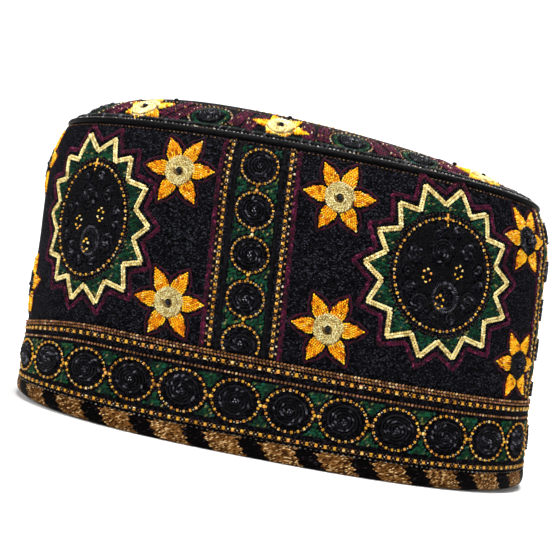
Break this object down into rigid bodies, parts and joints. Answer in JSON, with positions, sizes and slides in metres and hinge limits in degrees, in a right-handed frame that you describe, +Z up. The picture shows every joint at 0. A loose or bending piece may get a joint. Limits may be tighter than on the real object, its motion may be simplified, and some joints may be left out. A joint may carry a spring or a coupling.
{
  "type": "balochi cap",
  "caption": "Oval embroidered cloth cap with upright walls, a border strip, a striped edge tape, a piped top seam and a low domed crown, open underneath.",
  "frame": {"origin": "on the floor under the middle of the cap's box, at the rim's flat underside", "axes": "+X along the oval's long axis, +Y from the front to the back, +Z up through the crown"},
  "size_m": [0.2162, 0.131, 0.1306],
  "materials": {
    "wall_cloth": "close rows of black thread with a slight sheen",
    "border_cloth": "black and dark green thread, matt with a slight sheen",
    "edge_tape": "woven tape with slanting stripes of gold brown and black",
    "piping_cloth": "plain black satin weave, softly shining",
    "crown_cloth": "black ground under maroon, green and gold thread",
    "embroidery_thread": "twisted silky thread in several colours",
    "beads": "small glossy dark beads"
  },
  "bodies": {
    "root": {"side_wall": "wall_cloth", "border_band": "border_cloth", "edge_tape": "edge_tape", "crown_piping": "piping_cloth", "crown": "crown_cloth"}
  },
  "joints": []
}
